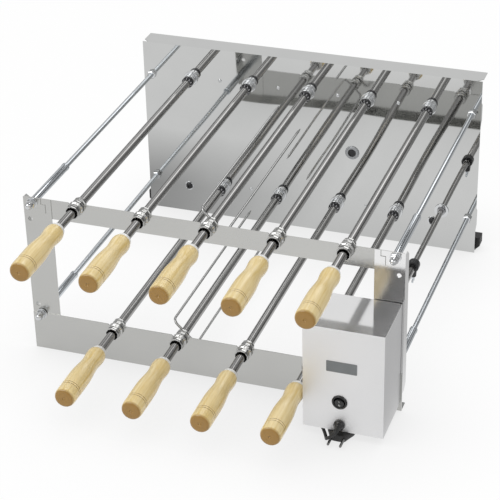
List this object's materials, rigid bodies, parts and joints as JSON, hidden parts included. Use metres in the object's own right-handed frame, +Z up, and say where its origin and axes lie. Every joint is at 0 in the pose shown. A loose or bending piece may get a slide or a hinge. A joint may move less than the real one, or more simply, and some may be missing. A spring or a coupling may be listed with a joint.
{
  "type": "electric skewer grill",
  "caption": "Low grill with a notched front frame, a tall rear panel, tie rods, wooden-handled skewers in two tiers, a motor box, and gears behind the panel.",
  "frame": {"origin": "on the floor, in the middle of the grill without its cord", "axes": "+Z up, +Y from the handles to the rear panel, +X to the side of the motor box"},
  "size_m": [0.614, 0.731, 0.323],
  "materials": {
    "handle": "varnished",
    "rod": "satin",
    "bushing": "polished",
    "socket": "polished",
    "gear": "satin",
    "drive": "satin",
    "clamp": "matt",
    "frame": "satin",
    "panel": "mirror",
    "inner_plate": "satin",
    "bumper": "matt",
    "tie": "polished",
    "fastener": "polished",
    "cover": "satin",
    "motor": "cast",
    "switch": "gloss",
    "gland": "matt",
    "cord": "satin",
    "plug": "satin",
    "pin": "polished"
  },
  "bodies": {
    "grill": {"front_top_rail": "frame", "front_bottom_rail": "frame", "front_left_column": "frame", "front_right_column": "frame", "rear_panel": "panel", "bearing_carrier": "inner_plate", "back_plate": "inner_plate", "end_bumpers": "bumper", "tie_rods": "tie", "nuts_and_screws": "fastener", "motor_box": "cover", "motor_plate": "inner_plate", "gear_motor": "motor", "switch_bezel": "switch", "cable_gland": "gland", "cord_lead": "cord", "cord_coil": "cord", "plug_body": "plug", "plug_pins": "pin"},
    "drive": {"drive_rod": "drive", "drive_tube": "drive", "shaft_clamp": "clamp"},
    "idler": {"idler_gear": "gear"},
    "rocker": {"switch_rocker": "switch"},
    "upper_1_socket": {"upper_1_socket_gear": "socket"},
    "upper_1_support": {"upper_1_bushing": "bushing"},
    "upper_1_skewer": {"upper_1_handle": "handle", "upper_1_rod": "rod"},
    "upper_2_socket": {"upper_2_socket_gear": "socket"},
    "upper_2_support": {"upper_2_bushing": "bushing"},
    "upper_2_skewer": {"upper_2_handle": "handle", "upper_2_rod": "rod"},
    "upper_3_socket": {"upper_3_socket_gear": "socket"},
    "upper_3_support": {"upper_3_bushing": "bushing"},
    "upper_3_skewer": {"upper_3_handle": "handle", "upper_3_rod": "rod"},
    "upper_4_socket": {"upper_4_socket_gear": "socket"},
    "upper_4_support": {"upper_4_bushing": "bushing"},
    "upper_4_skewer": {"upper_4_handle": "handle", "upper_4_rod": "rod"},
    "upper_5_socket": {"upper_5_socket_gear": "socket"},
    "upper_5_support": {"upper_5_bushing": "bushing"},
    "upper_5_skewer": {"upper_5_handle": "handle", "upper_5_rod": "rod"},
    "lower_1_socket": {"lower_1_socket_gear": "socket"},
    "lower_1_support": {"lower_1_bushing": "bushing"},
    "lower_1_skewer": {"lower_1_handle": "handle", "lower_1_rod": "rod"},
    "lower_2_socket": {"lower_2_socket_gear": "socket"},
    "lower_2_support": {"lower_2_bushing": "bushing"},
    "lower_2_skewer": {"lower_2_handle": "handle", "lower_2_rod": "rod"},
    "lower_3_socket": {"lower_3_socket_gear": "socket"},
    "lower_3_support": {"lower_3_bushing": "bushing"},
    "lower_3_skewer": {"lower_3_handle": "handle", "lower_3_rod": "rod"},
    "lower_4_socket": {"lower_4_socket_gear": "socket"},
    "lower_4_support": {"lower_4_bushing": "bushing"},
    "lower_4_skewer": {"lower_4_handle": "handle", "lower_4_rod": "rod"}
  },
  "joints": [
    {"name": "drive_spin", "type": "hinge", "parent": "grill", "child": "drive", "pos_m": [0.23982, -0.1655, 0.0735], "axis": [0, 1, 0], "continuous": true},
    {"name": "idler_spin", "type": "hinge", "parent": "grill", "child": "idler", "pos_m": [0.0795, 0.3275, 0.16143], "axis": [0, 1, 0], "continuous": true},
    {"name": "rocker_tip", "type": "hinge", "parent": "grill", "child": "rocker", "pos_m": [0.231, -0.2565, 0.064], "axis": [-1, 0, 0], "range_deg": [0, 16]},
    {"name": "upper_1_socket_spin", "type": "hinge", "parent": "grill", "child": "upper_1_socket", "pos_m": [-0.212, 0.3275, 0.26407], "axis": [0, 1, 0], "continuous": true},
    {"name": "upper_1_lift", "type": "hinge", "parent": "grill", "child": "upper_1_support", "pos_m": [-0.212, 0.3115, 0.26407], "axis": [-1, 0, 0], "range_deg": [0, 4]},
    {"name": "upper_1_spin", "type": "hinge", "parent": "upper_1_support", "child": "upper_1_skewer", "pos_m": [-0.212, -0.1655, 0.26407], "axis": [0, 1, 0], "continuous": true},
    {"name": "upper_2_socket_spin", "type": "hinge", "parent": "grill", "child": "upper_2_socket", "pos_m": [-0.106, 0.3275, 0.26407], "axis": [0, 1, 0], "continuous": true},
    {"name": "upper_2_lift", "type": "hinge", "parent": "grill", "child": "upper_2_support", "pos_m": [-0.106, 0.3115, 0.26407], "axis": [-1, 0, 0], "range_deg": [0, 4]},
    {"name": "upper_2_spin", "type": "hinge", "parent": "upper_2_support", "child": "upper_2_skewer", "pos_m": [-0.106, -0.1655, 0.26407], "axis": [0, 1, 0], "continuous": true},
    {"name": "upper_3_socket_spin", "type": "hinge", "parent": "grill", "child": "upper_3_socket", "pos_m": [0, 0.3275, 0.26407], "axis": [0, 1, 0], "continuous": true},
    {"name": "upper_3_lift", "type": "hinge", "parent": "grill", "child": "upper_3_support", "pos_m": [0, 0.3115, 0.26407], "axis": [-1, 0, 0], "range_deg": [0, 4]},
    {"name": "upper_3_spin", "type": "hinge", "parent": "upper_3_support", "child": "upper_3_skewer", "pos_m": [0, -0.1655, 0.26407], "axis": [0, 1, 0], "continuous": true},
    {"name": "upper_4_socket_spin", "type": "hinge", "parent": "grill", "child": "upper_4_socket", "pos_m": [0.106, 0.3275, 0.26407], "axis": [0, 1, 0], "continuous": true},
    {"name": "upper_4_lift", "type": "hinge", "parent": "grill", "child": "upper_4_support", "pos_m": [0.106, 0.3115, 0.26407], "axis": [-1, 0, 0], "range_deg": [0, 4]},
    {"name": "upper_4_spin", "type": "hinge", "parent": "upper_4_support", "child": "upper_4_skewer", "pos_m": [0.106, -0.1655, 0.26407], "axis": [0, 1, 0], "continuous": true},
    {"name": "upper_5_socket_spin", "type": "hinge", "parent": "grill", "child": "upper_5_socket", "pos_m": [0.212, 0.3275, 0.26407], "axis": [0, 1, 0], "continuous": true},
    {"name": "upper_5_lift", "type": "hinge", "parent": "grill", "child": "upper_5_support", "pos_m": [0.212, 0.3115, 0.26407], "axis": [-1, 0, 0], "range_deg": [0, 4]},
    {"name": "upper_5_spin", "type": "hinge", "parent": "upper_5_support", "child": "upper_5_skewer", "pos_m": [0.212, -0.1655, 0.26407], "axis": [0, 1, 0], "continuous": true},
    {"name": "lower_1_socket_spin", "type": "hinge", "parent": "grill", "child": "lower_1_socket", "pos_m": [-0.159, 0.3275, 0.0588], "axis": [0, 1, 0], "continuous": true},
    {"name": "lower_1_lift", "type": "hinge", "parent": "grill", "child": "lower_1_support", "pos_m": [-0.159, 0.3115, 0.0588], "axis": [-1, 0, 0], "range_deg": [0, 4]},
    {"name": "lower_1_spin", "type": "hinge", "parent": "lower_1_support", "child": "lower_1_skewer", "pos_m": [-0.159, -0.1655, 0.0588], "axis": [0, 1, 0], "continuous": true},
    {"name": "lower_2_socket_spin", "type": "hinge", "parent": "grill", "child": "lower_2_socket", "pos_m": [-0.053, 0.3275, 0.0588], "axis": [0, 1, 0], "continuous": true},
    {"name": "lower_2_lift", "type": "hinge", "parent": "grill", "child": "lower_2_support", "pos_m": [-0.053, 0.3115, 0.0588], "axis": [-1, 0, 0], "range_deg": [0, 4]},
    {"name": "lower_2_spin", "type": "hinge", "parent": "lower_2_support", "child": "lower_2_skewer", "pos_m": [-0.053, -0.1655, 0.0588], "axis": [0, 1, 0], "continuous": true},
    {"name": "lower_3_socket_spin", "type": "hinge", "parent": "grill", "child": "lower_3_socket", "pos_m": [0.053, 0.3275, 0.0588], "axis": [0, 1, 0], "continuous": true},
    {"name": "lower_3_lift", "type": "hinge", "parent": "grill", "child": "lower_3_support", "pos_m": [0.053, 0.3115, 0.0588], "axis": [-1, 0, 0], "range_deg": [0, 4]},
    {"name": "lower_3_spin", "type": "hinge", "parent": "lower_3_support", "child": "lower_3_skewer", "pos_m": [0.053, -0.1655, 0.0588], "axis": [0, 1, 0], "continuous": true},
    {"name": "lower_4_socket_spin", "type": "hinge", "parent": "grill", "child": "lower_4_socket", "pos_m": [0.159, 0.3275, 0.0588], "axis": [0, 1, 0], "continuous": true},
    {"name": "lower_4_lift", "type": "hinge", "parent": "grill", "child": "lower_4_support", "pos_m": [0.159, 0.3115, 0.0588], "axis": [-1, 0, 0], "range_deg": [0, 4]},
    {"name": "lower_4_spin", "type": "hinge", "parent": "lower_4_support", "child": "lower_4_skewer", "pos_m": [0.159, -0.1655, 0.0588], "axis": [0, 1, 0], "continuous": true}
  ],
  "couplings": [
    {"joint": "idler_spin", "follows": "drive_spin", "ratio": -0.55},
    {"joint": "upper_1_socket_spin", "follows": "drive_spin", "ratio": -0.55},
    {"joint": "upper_1_spin", "follows": "drive_spin", "ratio": -0.55},
    {"joint": "upper_2_socket_spin", "follows": "drive_spin", "ratio": 0.55},
    {"joint": "upper_2_spin", "follows": "drive_spin", "ratio": 0.55},
    {"joint": "upper_3_socket_spin", "follows": "drive_spin", "ratio": -0.55},
    {"joint": "upper_3_spin", "follows": "drive_spin", "ratio": -0.55},
    {"joint": "upper_4_socket_spin", "follows": "drive_spin", "ratio": 0.55},
    {"joint": "upper_4_spin", "follows": "drive_spin", "ratio": 0.55},
    {"joint": "upper_5_socket_spin", "follows": "drive_spin", "ratio": -0.55},
    {"joint": "upper_5_spin", "follows": "drive_spin", "ratio": -0.55},
    {"joint": "lower_1_socket_spin", "follows": "drive_spin", "ratio": 0.55},
    {"joint": "lower_1_spin", "follows": "drive_spin", "ratio": 0.55},
    {"joint": "lower_2_socket_spin", "follows": "drive_spin", "ratio": -0.55},
    {"joint": "lower_2_spin", "follows": "drive_spin", "ratio": -0.55},
    {"joint": "lower_3_socket_spin", "follows": "drive_spin", "ratio": 0.55},
    {"joint": "lower_3_spin", "follows": "drive_spin", "ratio": 0.55},
    {"joint": "lower_4_socket_spin", "follows": "drive_spin", "ratio": -0.55},
    {"joint": "lower_4_spin", "follows": "drive_spin", "ratio": -0.55}
  ]
}
